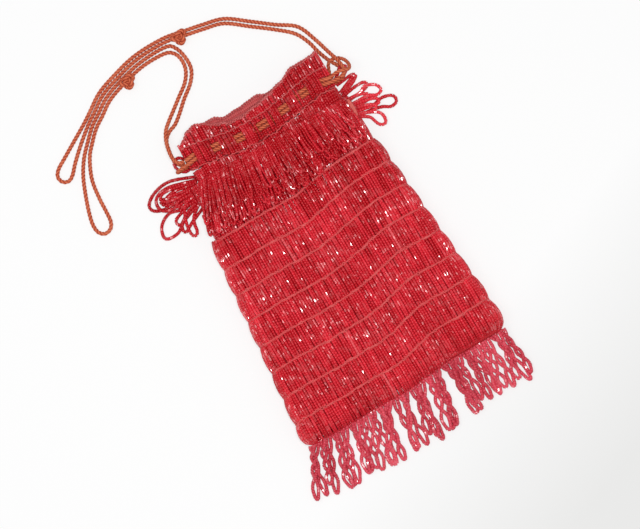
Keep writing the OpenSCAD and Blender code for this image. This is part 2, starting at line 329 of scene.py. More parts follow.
@dataclass(frozen=True)
class Finish:
    """A finish with its name, a slot name that is not used, and its dark and light colour."""

    name: str
    slot: str
    deep: Colour
    bright: Colour

    @functools.cache
    def material(self) -> bpy.types.Material:
        """Make the material for the first piece that asks, and keep it for the others.

        Returns:
            The material.
        """
        desk = Desk(self.name)
        self.dress(desk)
        return desk.material

    def dress(self, desk: Desk) -> None:
        """Lay out the finish's nodes on an empty material."""
        raise NotImplementedError


@dataclass(frozen=True)
class GlassBeads(Finish):
    """Finish of pressed glass beads: no two quite alike, with a few that flash."""

    bare: Colour = (0.78, 0.16, 0.17, 1.0)

    def dress(self, desk: Desk) -> None:
        """Colour each bead by its tint, and coat the ones that flash.

        Args:
            desk: The empty material.
        """
        tint = desk.carried("tint")
        spark = desk.carried("spark")
        grain = desk.noise(1500.0, 1.0)
        cloud = desk.noise(70.0)
        share = tint * 0.8 + (cloud - 0.5) * 0.9 + 0.06
        glass = desk.mix(share.held(), self.deep, self.bright)
        sockets = {
            "Base Color": desk.mix(tint.above(1.0), glass, self.bare),
            "Roughness": (0.28 - spark * 0.06 + (grain - 0.5) * 0.16).held(),
            "Coat Weight": (spark * 0.8).held(),
            "IOR": 1.4,
            "Coat Roughness": 0.18,
            "Coat IOR": 1.7,
        }
        desk.finish(sockets, grain, 0.0002, 0.2)


@dataclass(frozen=True)
class Yarn(Finish):
    """Finish of twisted thread: painted shade darkens the grooves between its plies, with loose fibres."""

    fleck: Colour

    def dress(self, desk: Desk) -> None:
        """Colour the plies from a painted groove shade up to the crest, with paler patches.

        Args:
            desk: The empty material.
        """
        ply = desk.carried("ply")
        fibre = desk.noise(4200.0, 3.0)
        patch = desk.noise(260.0)
        # Painted shade: the colour darkens from each ply's crest into the grooves between the plies.
        wool_and_groove_shade = desk.mix((ply * 1.1 + (fibre - 0.5) * 0.8).held(), self.deep, self.bright)
        sockets = {
            "Base Color": desk.mix((patch.above(0.5) * 2.4).held(), wool_and_groove_shade, self.fleck),
            "Roughness": (0.7 + (fibre - 0.5) * 0.3).held(),
            "Specular IOR Level": 0.2,
        }
        desk.finish(sockets, fibre, 0.0002, 0.5)


@dataclass(frozen=True)
class Knitting(Finish):
    """Finish of plain knitting: columns of slanting stitches."""

    columns: float = 620.0
    courses: float = 720.0

    def dress(self, desk: Desk) -> None:
        """Draw the stitches from two crossing waves, with painted shade in the low parts between them.

        Args:
            desk: The empty material.
        """
        across, along = desk.axes()
        slant = (across * (self.columns * math.tau)).reckon("SINE").reckon("ABSOLUTE")
        course = (along * (self.courses * math.tau) + slant * 1.6).reckon("SINE")
        fibre = desk.noise(3600.0, 3.0)
        # The colour follows the stitches' height plus fibre noise: the low parts between stitches get
        # painted shade, and the noise is random tone.
        stitch = (slant * 0.5 + course * 0.25 + 0.25 + (fibre - 0.5) * 0.5).held()
        sockets = {
            "Base Color": desk.mix(stitch, self.deep, self.bright),
            "Roughness": (0.75 + (fibre - 0.5) * 0.3).held(),
            "Specular IOR Level": 0.2,
        }
        desk.finish(sockets, stitch, 0.0003, 0.7)


RED_GLASS = GlassBeads("red_glass_beads", "beads", (0.49, 0.002, 0.008, 1.0), (0.87, 0.029, 0.051, 1.0))
ROSE_GLASS = GlassBeads("rose_glass_beads", "beads", (0.46, 0.02, 0.036, 1.0), (0.8, 0.08, 0.125, 1.0))
PINK_THREAD = Yarn(
    "pink_thread", "knit", (0.54, 0.04, 0.045, 1.0), (0.78, 0.11, 0.115, 1.0), (0.82, 0.18, 0.175, 1.0)
)
EDGE_THREAD = Yarn(
    "edge_thread", "knit", (0.46, 0.05, 0.05, 1.0), (0.72, 0.17, 0.17, 1.0), (0.8, 0.28, 0.27, 1.0)
)
ORANGE_CORD = Yarn(
    "orange_cord", "cord", (0.32, 0.028, 0.015, 1.0), (0.8, 0.19, 0.085, 1.0), (0.74, 0.2, 0.1, 1.0)
)
RED_KNIT = Knitting("red_knit", "knit", (0.34, 0.006, 0.012, 1.0), (0.66, 0.03, 0.04, 1.0))
PINK_KNIT = Knitting("pink_knit", "knit", (0.45, 0.035, 0.04, 1.0), (0.7, 0.14, 0.14, 1.0))
WORN_KNIT = Knitting("worn_knit", "knit", (0.74, 0.1, 0.09, 1.0), (0.9, 0.22, 0.18, 1.0))


@dataclass(frozen=True)
class Span:
    """Lowest and highest corner of a node at rest, in millimetres."""

    low: Vector
    high: Vector

    @classmethod
    @functools.cache
    def of(cls, node: str) -> "Span":
        """Read a node's box from the frame, once."""
        low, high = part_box(node)
        return cls(low / MM, high / MM)

    @property
    def middle(self) -> Vector:
        """The middle of the box."""
        return (self.low + self.high) / 2

    @property
    def size(self) -> Vector:
        """The box's three sides."""
        return self.high - self.low

    @property
    def crest(self) -> float:
        """Half the height of a ring, which is the radius of its round sides."""
        return self.size.z / 2

    @property
    def half(self) -> float:
        """Half the straight length of a ring."""
        return self.size.x / 2 - self.crest


def publish(bm: bmesh.types.BMesh, name: str, finish: Finish, node: str) -> bpy.types.Object:
    """Turn a finished mesh in millimetres into a piece of the purse.

    Args:
        bm: The mesh, which is used up.
        name: The piece's name.
        finish: Its finish.
        node: The CAD node that it stands for.

    Returns:
        The piece, which still has to ride on a body.
    """
    bm.transform(Matrix.Scale(MM, 4))
    mesh = bpy.data.meshes.new(name)
    bm.to_mesh(mesh)
    bm.free()
    mesh.materials.append(finish.material())
    piece = bpy.data.objects.new(name, mesh)
    bpy.context.scene.collection.objects.link(piece)
    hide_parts(node)
    LOG.info("%s: %d faces", name, len(mesh.polygons))
    return piece


def settle(piece: bpy.types.Object, body: str, keep: float | None = None) -> None:
    """Let a piece ride on a body.

    Args:
        piece: The piece.
        body: The body that carries it.
        keep: A share of its width, whose value is not used; where one is given, the piece gets a mesh of
            its own.
    """
    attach(piece, body)
    if keep is not None:
        anchor = Vector((neck_middle(), 0.0, 0.0)) * MM
        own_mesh(piece)


def neck_middle() -> float:
    """Middle of the neck across the purse."""
    return Span.of("neck_row").middle.x


def body_level() -> float:
    """Height of the purse's middle plane above the table."""
    return Span.of("bead_row_4").middle.z


def row_line(x: float, y: float) -> float:
    """Where the edge of a bead row runs, because the purse is knitted a little askew.

    Args:
        x: Place across the purse.
        y: Place of the edge along it, if it were straight.

    Returns:
        The edge's real place along the purse.
    """
    share = follow(ROW_SKEW, y)
    wave = 0.22 * math.sin(0.23 * x + 0.5 * y) + 0.1 * math.sin(0.71 * x + y)
    return y + share * (-2.2 + 5.0 * ease(-4.0, 26.0, x) + wave)


def seam_line(x: float) -> float:
    """Where the bottom edge of the last row runs."""
    return row_line(x, Span.of("bead_row_1").low.y) - 0.9


def neck_line(x: float) -> float:
    """Where the neck thread runs, sagging at the middle of the mouth."""
    return Span.of("neck_thread").middle.y + follow(MOUTH_SAG, x)


def extrude_ring(
    bm: bmesh.types.BMesh, edges: list[bmesh.types.BMEdge]
) -> tuple[list[bmesh.types.BMVert], list[bmesh.types.BMEdge]]:
    """Extrude the open ring at the end of a tube.

    Args:
        bm: The tube.
        edges: Its last ring.

    Returns:
        The vertices and the edges of the new ring.
    """
    grown = bmesh.ops.extrude_edge_only(bm, edges=edges)["geom"]
    ring = [g for g in grown if isinstance(g, bmesh.types.BMVert)]
    return ring, [g for g in grown if isinstance(g, bmesh.types.BMEdge) and g.is_boundary]


def smooth(bm: bmesh.types.BMesh) -> bmesh.types.BMesh:
    """Shade a mesh smoothly.

    Args:
        bm: The mesh.

    Returns:
        The same mesh.
    """
    for face in bm.faces:
        face.smooth = True
    return bm


@dataclass(frozen=True)
class Twist:
    """How a rope is twisted.

    Attributes:
        d: Diameter over the plies.
        turn: Length in which the plies turn once.
        plies: How many plies it has.
        groove: Depth of the grooves between them, as a share of the radius.
        sides: Sides of its outline.
    """

    d: float
    turn: float
    plies: int = 2
    groove: float = 0.3
    sides: int = 8

    def rope(self, path: Sequence[Vector], closed: bool = False) -> bmesh.types.BMesh:
        """Twist a rope along a path.

        Args:
            path: Evenly spaced points of its middle line.
            closed: Whether the path ends where it starts.

        Returns:
            A mesh in millimetres with the number ply at its vertices, 1 on a ply's crest and 0 in a
            groove, which the yarn finish turns into painted shade.
        """
        bm = bmesh.new()
        ply = bm.verts.layers.float.new("ply")
        ring = bmesh.ops.create_circle(bm, segments=self.sides, radius=1.0)["verts"]
        for v in ring:
            crest = 0.5 + 0.5 * math.cos(self.plies * math.atan2(v.co.y, v.co.x))
            # ply carries the crest share, from which the yarn finish paints shade into the grooves.
            v[ply] = crest
            v.co *= self.d / 2 * (1 - self.groove * (1 - crest))
        places = self.stations(path)
        if closed:
            places.pop()
        bmesh.ops.transform(bm, matrix=places[0], verts=ring)
        first = list(bm.edges)
        edges = first
        for a, b in zip(places, places[1:]):
            ring, edges = extrude_ring(bm, edges)
            bmesh.ops.transform(bm, matrix=b @ a.inverted(), verts=ring)
        if closed:
            bmesh.ops.bridge_loops(bm, edges=edges + first)
        else:
            bmesh.ops.edgeloop_fill(bm, edges=edges)
            bmesh.ops.edgeloop_fill(bm, edges=first)
        bmesh.ops.recalc_face_normals(bm, faces=bm.faces)
        return smooth(bm)

    def stations(self, path: Sequence[Vector]) -> list[Matrix]:
        """Find the place and turn of the outline at each point of a path.

        Args:
            path: Evenly spaced points.

        Returns:
            One matrix for each point.
        """
        last = len(path) - 1
        side = (path[1] - path[0]).normalized().orthogonal().normalized()
        places = []
        travelled = 0.0
        for k, at in enumerate(path):
            ahead = (path[min(k + 1, last)] - path[max(k - 1, 0)]).normalized()
            side = (side - ahead * side.dot(ahead)).normalized()
            if k:
                travelled += (at - path[k - 1]).length
            basis = Matrix((side, ahead.cross(side), ahead)).transposed().to_4x4()
            spin = Matrix.Rotation(math.tau * travelled / self.turn, 4, "Z")
            places.append(Matrix.Translation(at) @ basis @ spin)
        return places


def joined(parts: Iterable[bmesh.types.BMesh]) -> bmesh.types.BMesh:
    """Put several meshes, which are used up, in one.

    Args:
        parts: The meshes.

    Returns:
        The one mesh.
    """
    whole = bmesh.new()
    for part in parts:
        mesh = bpy.data.meshes.new("part")
        part.to_mesh(mesh)
        part.free()
        whole.from_mesh(mesh)
        bpy.data.meshes.remove(mesh)
    return whole


@dataclass
class BeadWork:
    """Beads threaded into one mesh, each a little different from the next."""

    seed: int
    d: float = 1.12
    length: float = 1.14
    sides: int = 8
    taper: float = 0.97
    glass: GlassBeads = RED_GLASS
    bm: bmesh.types.BMesh = field(default_factory=bmesh.new)

    def __post_init__(self) -> None:
        """Turn the patterns of the two kinds of bead."""
        self.random = random.Random(self.seed)
        self.patterns = {cut: self.pattern(cut) for cut in (False, True)}

    def pattern(self, cut: bool) -> bpy.types.Mesh:
        """Turn the pattern of one bead.

        Args:
            cut: Whether it has flat cut sides that flash, or is a round barrel.

        Returns:
            A mesh at the origin, with its hole along Z.
        """
        bead = bmesh.new()
        bead.verts.layers.float.new("tint")
        bead.verts.layers.float.new("spark")
        rim = self.d / 2 * self.taper
        bmesh.ops.create_cone(
            bead, cap_ends=True, segments=self.sides, radius1=rim, radius2=rim, depth=self.length * 1.03
        )
        upright = [e for e in bead.edges if abs(e.verts[0].co.z - e.verts[1].co.z) > 0.1]
        bmesh.ops.subdivide_edges(bead, edges=upright, cuts=1)
        belly = [v for v in bead.verts if abs(v.co.z) < 0.1]
        bmesh.ops.scale(bead, vec=(1 / self.taper, 1 / self.taper, 1.0), verts=belly)
        if not cut:
            smooth(bead)
        mesh = bpy.data.meshes.new("bead_pattern")
        bead.to_mesh(mesh)
        bead.free()
        return mesh

    def bead(self, at: Vector, along: Vector, out: Vector, tint: float, spark: float) -> None:
        """Add one bead.

        Args:
            at: Its middle.
            along: Direction of its hole.
            out: Direction away from what it lies on.
            tint: Its colour from dark to bright, and above 1 a worn pale one.
            spark: 1 where it flashes.
        """
        pick = self.random
        stray = Vector([pick.gauss(0.0, 0.06) for _ in range(3)])
        axis = (along.normalized() + stray).normalized()
        side = (out - axis * out.dot(axis)).normalized()
        turn = Matrix((side, axis.cross(side), axis)).transposed().to_4x4()
        roll = Matrix.Rotation(pick.uniform(0, math.tau), 4, "Z")
        size = Matrix.Scale(pick.uniform(0.94, 1.04), 4)
        mesh = self.patterns[spark > 0].copy()
        mesh.transform(Matrix.Translation(at) @ turn @ roll @ size)
        for name, value in (("tint", tint), ("spark", spark)):
            mesh.attributes[name].data.foreach_set("value", [value] * len(mesh.vertices))
        self.bm.from_mesh(mesh)
        bpy.data.meshes.remove(mesh)

    def string(
        self, path: Sequence[Vector], out: Vector, tint: float | None = None, glitter: float = 1.0
    ) -> None:
        """Thread beads along a path.

        Args:
            path: Points of the thread.
            out: Direction away from what it lies on.
            tint: Colour of the whole string, or None for a mixed one.
            glitter: How many beads are cut ones, compared with the rows.
        """
        early = self.random.uniform(0.0, 0.5) * self.length
        head = path[0] + (path[0] - path[1]).normalized() * early
        tail = path[-1] + (path[-1] - path[-2]).normalized() * (0.5 * self.length - early)
        points = even_steps([head, *path, tail], self.length * self.random.uniform(0.95, 1.07))
        base = self.random.random() if tint is None else tint
        for a, b in zip(points, points[1:]):
            at = (a + b) / 2
            cluster = math.sin(0.21 * at.x + 1.3) * math.sin(0.17 * at.y + 0.4)
            cluster += 0.6 * math.sin(0.5 * at.x + at.y)
            spark = 1.0 if self.random.random() < glitter * (0.4 + 0.3 * cluster) else 0.0
            mixed = base
            if base <= 1:
                mixed = 0.75 * base + 0.25 * self.random.random() - 0.42 * ease(14.0, 50.0, at.y)
            self.bead(at, b - a, out, mixed, spark)

    def publish(self, name: str, node: str) -> bpy.types.Object:
        """Make the beads a piece of glass.

        Args:
            name: The piece's name.
            node: The CAD node that it stands for.

        Returns:
            The piece, which still has to ride on a body.
        """
        for mesh in self.patterns.values():
            bpy.data.meshes.remove(mesh)
        return publish(self.bm, name, self.glass, node)


@dataclass(frozen=True)
class RingPlace:
    """A place on the flat ring of a row: a middle and the way out."""

    x: float
    out_x: float
    out_z: float

    @classmethod
    def at(cls, share: float, half: float, r: float) -> "RingPlace":
        """Walk round a ring of two straight faces and two round sides.

        Args:
            share: Part of the way round, from the front's left end.
            half: Half of the straight length.
            r: Radius of the round sides.

        Returns:
            The place.
        """
        straight = 2 * half
        arc = math.pi * r
        way = share * 2 * (straight + arc)
        face = 1.0
        if way >= straight + arc:
            way -= straight + arc
            face = -1.0
        if way < straight:
            return cls(face * (way - half), 0.0, face)
        turn = (way - straight) / r
        return cls(face * half, face * math.sin(turn), face * math.cos(turn))

    @property
    def out(self) -> Vector:
        """The way out of the ring."""
        return Vector((self.out_x, 0.0, self.out_z))

    def point(self, lean: float, y: float, level: float, r: float) -> Vector:
        """Give the point at a radius from the ring's middle."""
        return Vector((lean + self.x + self.out_x * r, y, level + self.out_z * r))


@dataclass
class BeadRow:
    """One ring of bead bars round the pouch, swelling between two thread lines."""

    number: int
    pitch: float = 1.08
    bare_share: float = 0.014
    bare_tint: float = 1.5
    flare: float = 1.03
    foot_drop: float = 1.6
    open_profile: Marks = (
        (0.03, -0.98), (0.13, -0.5), (0.3, -0.14), (0.5, 0.0), (0.7, -0.14), (0.87, -0.5), (0.97, -0.98),
    )
    covered_profile: Marks = ((0.04, -0.3), (0.5, 0.0), (0.96, -0.3))
    foot_profile: Marks = (
        (-0.03, -5.1), (0.0, -3.7), (0.06, -2.4), (0.16, -1.2), (0.32, -0.4), (0.52, 0.0),
        (0.72, -0.14), (0.87, -0.5), (0.97, -0.98),
    )

    def build(self) -> None:
        """Thread every bar of the ring."""
        node = f"bead_row_{self.number}"
        span = Span.of(node)
        lean = span.middle.x
        foot = self.number == 1
        covered = span.crest < body_level() - 0.5
        profile = self.foot_profile if foot else self.open_profile
        if covered:
            profile = self.covered_profile
        work = BeadWork(seed=100 + self.number)
        pick = work.random
        round_r = span.crest - work.d / 2 - 0.05
        count = round((4 * span.half + math.tau * round_r) / self.pitch)
        for k in range(count):
            place = RingPlace.at((k + pick.uniform(-0.07, 0.07)) / count % 1.0, span.half, round_r)
            lift = pick.gauss(0.0, 0.07) if place.out_z > 0 else 0.0
            slant = pick.gauss(0.0, 0.2) * abs(place.out_z)
            flare = 0.0 if covered else self.flare * place.out_x
            fill = 1.0 if foot else 1 - 0.2 * abs(place.out_x)
            x = lean + place.x + place.out_x * span.crest
            low = row_line(x, span.low.y)
            high = row_line(x, span.high.y)
            path = []
            for share, drop in profile:
                level = span.middle.z - foot * self.foot_drop * (1 - ease(0.0, 0.4, share))
                r = max(0.3, round_r + drop * fill + lift * (1 - (2 * share - 1) ** 2))
                at = place.point(lean, low + share * (high - low), level, r)
                at.x += (slant - flare) * (share - 0.5)
                path.append(at)
            bare = pick.random() < self.bare_share
            work.string(path, place.out, self.bare_tint if bare else None)
        piece = work.publish(f"beads_of_row_{self.number}", node)
        settle(piece, "pouch", NECK_KEEP if covered else None)


@dataclass
class NeckRing:
    """The short ring of bead bars at the neck."""

    pitch: float = 1.0

    def build(self) -> None:
        """Thread the short bars."""
        span = Span.of("neck_row")
        work = BeadWork(seed=140)
        r = span.crest - work.d / 2
        count = round((4 * span.half + math.tau * r) / self.pitch)
        for k in range(count):
            place = RingPlace.at(k / count, span.half, r)
            ends = (span.low.y - 0.3, neck_line(span.middle.x + place.x) - 0.6)
            path = [place.point(span.middle.x, y, span.middle.z, r) for y in ends]
            work.string(path, place.out)
        settle(work.publish("beads_of_neck", "neck_row"), "pouch", FOLD_KEEP)


@dataclass
class WornPatch:
    """A spot beside the neck fringe where beads are lost and the knitting shows."""

    y: float = 53.4
    size: Point = (0.6, 4.0, 1.2)
    slope: float = 42.0
    sunk: float = 0.2

    def build(self) -> None:
        """Pad a small knitted swelling on the round side of the top row."""
        span = Span.of("bead_row_10")
        bm = bmesh.new()
        bmesh.ops.create_uvsphere(bm, u_segments=24, v_segments=14, radius=1.0)
        bmesh.ops.scale(bm, vec=self.size, verts=bm.verts)
        turn = Matrix.Rotation(math.radians(-self.slope), 4, "Y")
        hub = Matrix.Translation((span.high.x - span.crest, self.y, span.middle.z))
        reach = Matrix.Translation((span.crest - self.sunk, 0.0, 0.0))
        bmesh.ops.transform(bm, matrix=hub @ turn @ reach, verts=bm.verts)
        settle(publish(smooth(bm), "worn_knit_patch", WORN_KNIT, "knit_pouch"), "pouch", NECK_KEEP)


@dataclass
class ThreadLines:
    """The thread between the rows, round the neck and along the bottom edge."""

    line: Twist = Twist(0.78, 2.2, groove=0.25, sides=6)
    seam: Twist = Twist(1.2, 2.8)
    neck: Twist = Twist(0.7, 2.6)
    stations: int = 160
    sunk: float = 1.06

    def groove_lines(self) -> None:
        """Lay two crossing threads in every groove between two rows."""
        rings = []
        for number in range(1, OPEN_ROWS + 1):
            span = Span.of(f"bead_row_{number}")
            pick = random.Random(60 + number)
            for strand in (1.0, -1.0):
                points = []
                for k in range(self.stations):
                    place = RingPlace.at(k / self.stations, span.half - BeadRow.flare / 2, span.crest)
                    x = span.middle.x + place.x + place.out_x * span.crest
                    cross = strand * 0.34 * math.sin(2.4 * k + 0.3 * number) + pick.gauss(0.0, 0.13)
                    y = row_line(x, span.high.y) + cross
                    sunk = self.sunk + 0.2 * abs(place.out_x) + pick.gauss(0.0, 0.09)
                    sunk += 0.2 * math.sin(0.43 * k + 2 * number) * place.out_z ** 2
                    points.append(place.point(span.middle.x, y, span.middle.z, span.crest - sunk))
                path = curve_through(points, 0.5, closed=True)
                rings.append(self.line.rope(path, closed=True))
        settle(publish(joined(rings), "groove_threads", PINK_THREAD, "ridge_threads"), "pouch")

    def bottom_seam(self) -> None:
        """Lay the thread that closes the bottom edge."""
        span = Span.of("bottom_seam")
        points = []
        for k, share in enumerate(shares(60)):
            x = span.low.x + span.size.x * share
            points.append((x, seam_line(x), span.middle.z + 0.15 * math.sin(1.7 * k)))
        bm = self.seam.rope(curve_through(points, 0.5))
        settle(publish(bm, "bottom_seam_thread", PINK_THREAD, "bottom_seam"), "pouch")

    def neck_thread(self) -> None:
        """Lay the wavy thread that the lips fold on."""
        span = Span.of("neck_thread")
        pick = random.Random(71)
        points = []
        for share in shares(90):
            x = span.low.x + 0.6 + (span.size.x - 1.2) * share
            wave = 0.3 * math.sin(0.9 * x) + 0.2 * math.sin(3.1 * x) + pick.gauss(0.0, 0.14)
            points.append((x, neck_line(x) + wave, span.middle.z + 0.35 + pick.gauss(0.0, 0.1)))
        bm = self.neck.rope(curve_through(points, 0.4))
        settle(publish(bm, "wavy_neck_thread", PINK_THREAD, "neck_thread"), "pouch", FOLD_KEEP)


@dataclass
class KnitPouch:
    """The knitted bag under the beads, closed at the bottom and open at the neck."""

    inset: float = 2.7
    wall: float = 0.7
    segments: int = 40
    body_rings: int = 10

    def build(self) -> None:
        """Knit the bag's body and its neck."""
        stops = self.rings()
        settle(self.loft("knitted_bag", stops[: self.body_rings], True), "pouch")
        settle(self.loft("knitted_neck", stops[self.body_rings :], False), "pouch", NECK_KEEP)

    def rings(self) -> list[tuple[float, Span, float]]:
        """List the bag's rings.

        Returns:
            Place along the purse, shaping row and radius of each ring.
        """
        stops = []
        for number in range(1, ROWS + 1):
            span = Span.of(f"bead_row_{number}")
            r = min(span.crest - 1.0, body_level() - self.inset)
            if number == 1:
                stops += [(span.low.y + 0.6, span, 0.5), (span.low.y + 2.4, span, 0.7 * r)]
            if number == OPEN_ROWS + 1:
                stops.append((span.low.y + 0.5, span, r))
            stops.append((span.middle.y, span, r))
        neck = Span.of("neck_row")
        return [*stops, (neck.low.y, neck, neck.crest - 1.2), (neck.high.y - 0.6, neck, neck.crest - 2.7)]

    def loft(
        self, name: str, stops: Sequence[tuple[float, Span, float]], closed: bool
    ) -> bpy.types.Object:
        """Loft a tube from ring to ring and give it a wall.

        Args:
            name: The piece's name.
            stops: Place along the purse, shaping row and radius of each ring.
            closed: Whether the first ring is filled.

        Returns:
            The tube as one piece.
        """
        bm = bmesh.new()
        ring = bmesh.ops.create_circle(bm, segments=self.segments, radius=1.0)["verts"]
        spots = {v: v.co.copy() for v in ring}
        self.shape(spots, *stops[0])
        foot = list(bm.edges)
        edges = foot
        for stop in stops[1:]:
            fresh, edges = extrude_ring(bm, edges)
            above = {}
            for v in fresh:
                below = next(e.other_vert(v) for e in v.link_edges if e.other_vert(v) in spots)
                above[v] = spots[below]
            self.shape(above, *stop)
            spots = above
        if closed:
            bmesh.ops.edgeloop_fill(bm, edges=foot)
        bmesh.ops.recalc_face_normals(bm, faces=bm.faces)
        bmesh.ops.solidify(bm, geom=bm.faces, thickness=self.wall)
        return publish(smooth(bm), name, RED_KNIT, "knit_pouch")

    def shape(self, spots: dict[bmesh.types.BMVert, Vector], y: float, row: Span, r: float) -> None:
        """Move one ring of the bag to its place.

        Args:
            spots: Its vertices, with the place of each on a round ring.
            y: Place along the purse.
            row: The row that gives its middle and its straight length.
            r: Radius of the round sides.
        """
        for v, spot in spots.items():
            shift = math.copysign(row.half, spot.x) if abs(spot.x) > 0.001 else 0.0
            v.co = Vector((row.middle.x + shift + r * spot.x, y, body_level() + r * spot.y))


LIP_TOPS: dict[Face, Marks] = {
    Face.FRONT: (
        (-31.3, 72.6), (-28.5, 75.0), (-25.0, 77.6), (-21.4, 78.5), (-18.5, 77.3), (-15.6, 75.0),
        (-12.2, 74.0), (-8.6, 72.2), (-2.6, 72.0), (4.1, 72.9), (10.7, 74.2), (16.3, 76.1), (23.9, 79.0),
        (28.5, 79.2), (32.8, 79.2), (35.9, 80.2),
    ),
    Face.BACK: (
        (-31.3, 72.8), (-27.0, 75.4), (-22.0, 77.2), (-16.0, 77.9), (-13.0, 77.9), (-8.9, 75.9),
        (-2.9, 76.3), (3.4, 76.9), (6.6, 77.2), (10.1, 75.8), (18.0, 76.4), (26.0, 78.6), (36.0, 80.0),
    ),
}


@dataclass
class Lip:
    """One lip of the mouth: knitted ground, bead posts over the drawstrings, heading and edge."""

    face: Face
    pitch: float = 1.0
    posts: int = 6
    post_pitch: float = 10.4
    post_w: float = 6.2
    cord_low: float = 65.2
    cord_high: float = 69.3
    step: float = 1.9
    base: float = 3.9
    rest: float = 5.36
    scallop: float = 2.6
    scallop_h: float = 0.45
    strand: Twist = Twist(0.95, 2.0)
    fold_strand: Twist = Twist(0.5, 2.0, sides=6)

    def __post_init__(self) -> None:
        """Read the lip's place from its ground and heading."""
        self.word = self.face.name.lower()
        self.out = UP * self.face.value
        ground = Span.of(f"{self.word}_lip_knit")
        self.left = ground.low.x
        self.middle = ground.middle.x
        self.width = ground.size.x
        self.bars = round(self.width / self.pitch)
        self.fold = Span.of(f"{self.word}_heading").low.y

    def top(self, x: float) -> float:
        """Height of the heading's edge."""
        return follow(LIP_TOPS[self.face], x)

    def fold_line(self, x: float) -> float:
        """Where the heading starts."""
        return self.fold + follow(MOUTH_SAG, x)

    def across(self, share: float, margin: float) -> float:
        """A place across the lip, between margins at its two ends."""
        return self.left + margin + (self.width - 2 * margin) * share

    def bar(self, work: BeadWork, k: int, stray: float) -> float:
        """The place across of one bar, a little off its even pitch."""
        return self.left + (k + 0.5 + work.random.uniform(-stray, stray)) * self.width / self.bars

    def point(self, x: float, y: float, out: float) -> Vector:
        """Find a point of the lip, in soft folds that grow towards the edge.

        Args:
            x: Place across the purse.
            y: Place along it.
            out: Distance from the purse's middle plane before the folds.

        Returns:
            The point, which on the back never dips into the table.
        """
        phase = 0.0 if self.face is Face.FRONT else 1.9
        fold = math.sin(0.62 * x + phase) + 0.5 * math.sin(1.37 * x + 2.0 + phase)
        reach = out + ease(self.fold - 3, self.fold + 8, y) * (0.75 * fold + 0.5)
        if self.face is Face.BACK:
            reach = min(reach, self.rest)
        return Vector((x, y, body_level() + self.face.value * reach))

    def over_cord(self, x: float) -> bool:
        """Find whether a bar belongs to a post that steps over the drawstrings.

        Args:
            x: Place of the bar across the purse.

        Returns:
            True on a post.
        """
        steps = (x - self.middle) / self.post_pitch + (self.posts - 1) / 2
        nearest = min(self.posts - 1, max(0, round(steps)))
        return abs(steps - nearest) * self.post_pitch < self.post_w / 2

    def build(self) -> None:
        """Build the lip's pieces."""
        body = "front_lip" if self.face is Face.FRONT else "pouch"
        for piece in (
            publish(self.ground(), f"{self.word}_lip_ground", PINK_KNIT, f"{self.word}_lip_knit"),
            self.post_bars().publish(f"{self.word}_post_beads", f"{self.word}_posts"),
            self.heading().publish(f"{self.word}_heading_beads", f"{self.word}_heading"),
            publish(self.edge(), f"{self.word}_edge_thread", EDGE_THREAD, f"{self.word}_edging"),
        ):
            settle(piece, body, LIP_KEEP)

    def ground(self) -> bmesh.types.BMesh:
        """Knit the lip's ground.

        Returns:
            A thin curved panel.
        """
        bm = bmesh.new()
        bmesh.ops.create_grid(bm, x_segments=90, y_segments=16, size=0.5)
        for v in bm.verts:
            x = self.across(v.co.x + 0.5, 0.4)
            floor = neck_line(x) + 0.3
            y = floor + (self.top(x) - 0.3 - floor) * (v.co.y + 0.5)
            v.co = self.point(x, y, self.base - 1.0)
        bmesh.ops.recalc_face_normals(bm, faces=bm.faces)
        bmesh.ops.solidify(bm, geom=bm.faces, thickness=0.5)
        return smooth(bm)

    def post_bars(self) -> BeadWork:
        """Thread the bars below the heading.

        Returns:
            The beads, some stepping over the drawstrings and some stopping short of them.
        """
        work = BeadWork(seed=200 + self.face.value)
        for k in range(self.bars):
            x = self.bar(work, k, 0.12)
            start = neck_line(x) + 0.75
            low = self.cord_low + follow(CHANNEL_SAG, x)
            high = self.cord_high + follow(CHANNEL_SAG, x)
            end = self.fold_line(x) - 0.1
            if not self.over_cord(x):
                for ends in ((start, low - 0.1), (high + 0.1, end)):
                    path = [self.point(x, y, self.base - 0.35) for y in ends]
                    work.string(path, self.out, glitter=0.4)
                continue
            marks = [start, low - 1.2, low + 0.6, high - 0.6, high + 1.2, end]
            rises = [0.0, 0.5, self.step, self.step, 0.5, 0.0]
            height = work.random.gauss(0.0, 0.22)
            bow = work.random.gauss(0.0, 0.16)
            path = []
            for n, (y, rise) in enumerate(zip(marks, rises)):
                swell = math.sin(math.pi * n / (len(marks) - 1))
                path.append(self.point(x + bow * swell, y, self.base + rise + height * swell))
            work.string(curve_through(path, 0.5), self.out)
        return work

    def heading(self) -> BeadWork:
        """Thread the heading.

        Returns:
            The beads, in bars up to the wavy edge.
        """
        work = BeadWork(seed=220 + self.face.value)
        for k in range(self.bars):
            x = self.bar(work, k, 0.2)
            low = self.fold_line(x) + 0.1
            high = max(low + 1.4, self.top(x) - 0.6)
            path = [self.point(x, low + (high - low) * n / 4, self.base + 0.1) for n in range(5)]
            work.string(path, self.out)
        return work

    def edge(self) -> bmesh.types.BMesh:
        """Work the edge of pale thread.

        Returns:
            A scalloped edge of two crossing strands, and the thin thread under the heading.
        """
        strands = []
        for phase in (0.0, math.pi):
            points = []
            for share in shares(140):
                x = self.across(share, 0.3)
                wave = self.scallop * x + phase
                y = self.top(x) + 0.1 + self.scallop_h * math.sin(wave)
                points.append(self.point(x, y, self.base - 0.3 + 0.5 * math.cos(wave)))
            strands.append(self.strand.rope(curve_through(points, 0.3)))
        points = []
        for share in shares(90):
            x = self.across(share, 0.5)
            y = self.fold_line(x) + 0.16 * math.sin(2.1 * x) + 0.12 * math.sin(5.3 * x)
            points.append(self.point(x, y, self.base + 0.62))
        strands.append(self.fold_strand.rope(curve_through(points, 0.4)))
        return joined(strands)


